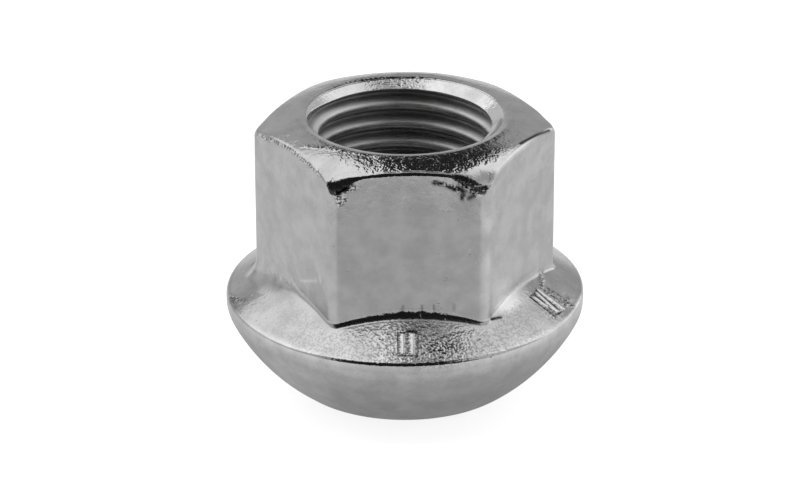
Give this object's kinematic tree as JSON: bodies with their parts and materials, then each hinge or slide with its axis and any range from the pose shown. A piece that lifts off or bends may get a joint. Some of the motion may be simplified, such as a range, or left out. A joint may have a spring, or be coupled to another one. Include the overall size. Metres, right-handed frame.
{
  "type": "lug nut",
  "caption": "Open-ended hexagonal wheel nut in plated steel, with a wide round collar and a ball seat that centres it in a wheel.",
  "frame": {"origin": "centre of the flat seat end, on the axis of the bore", "axes": "+Z along the bore from the seat end to the wrench end; one flat of the hexagon faces -Y"},
  "size_m": [0.0262, 0.026, 0.0203],
  "materials": {
    "zinc_plated_steel": "satin zinc plating over forged steel"
  },
  "bodies": {
    "root": {"lug_nut": "zinc_plated_steel"}
  },
  "joints": []
}
